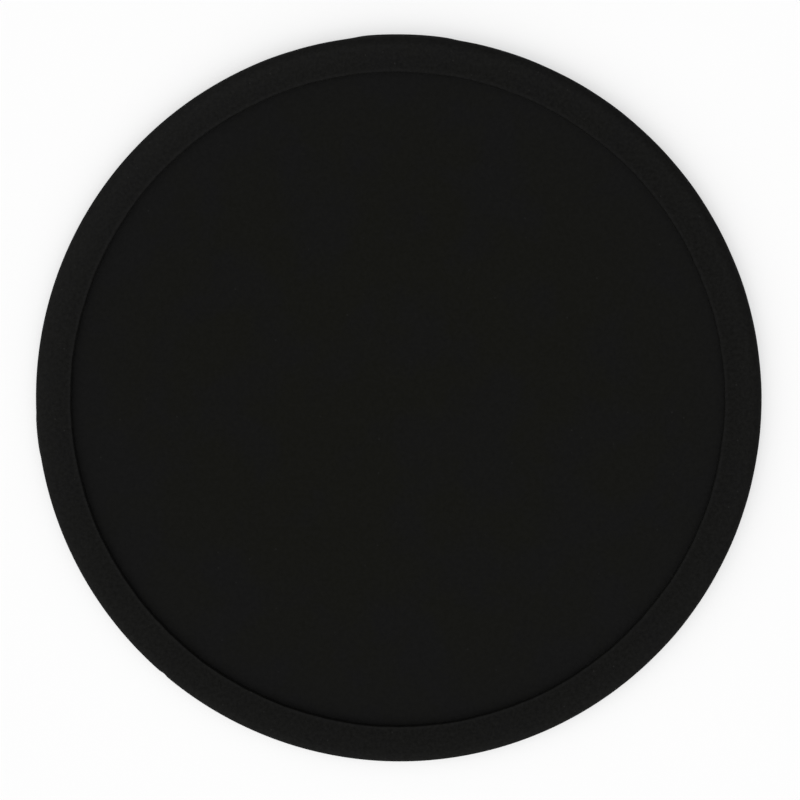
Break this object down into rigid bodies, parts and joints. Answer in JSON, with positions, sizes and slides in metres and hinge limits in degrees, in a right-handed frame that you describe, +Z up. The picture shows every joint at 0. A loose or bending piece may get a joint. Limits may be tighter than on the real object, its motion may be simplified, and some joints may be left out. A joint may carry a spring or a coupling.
{
  "type": "drink coaster",
  "caption": "Round flexible black silicone drink coaster: a flat disc with a low raised rim that keeps a glass in place and holds the water that runs off it.",
  "frame": {"origin": "centre of the flat underside, on the surface that the coaster lies on", "axes": "+Z up along the axis of the disc; X and Y lie in the underside, in any direction because the disc is round"},
  "size_m": [0.1, 0.1, 0.003],
  "materials": {
    "floor_silicone": "matt moulded silicone, fine even texture",
    "rim_silicone": "matt moulded silicone, slightly grainier than the floor"
  },
  "bodies": {
    "root": {"base_disc": "floor_silicone", "rim_ring": "rim_silicone"}
  },
  "joints": []
}
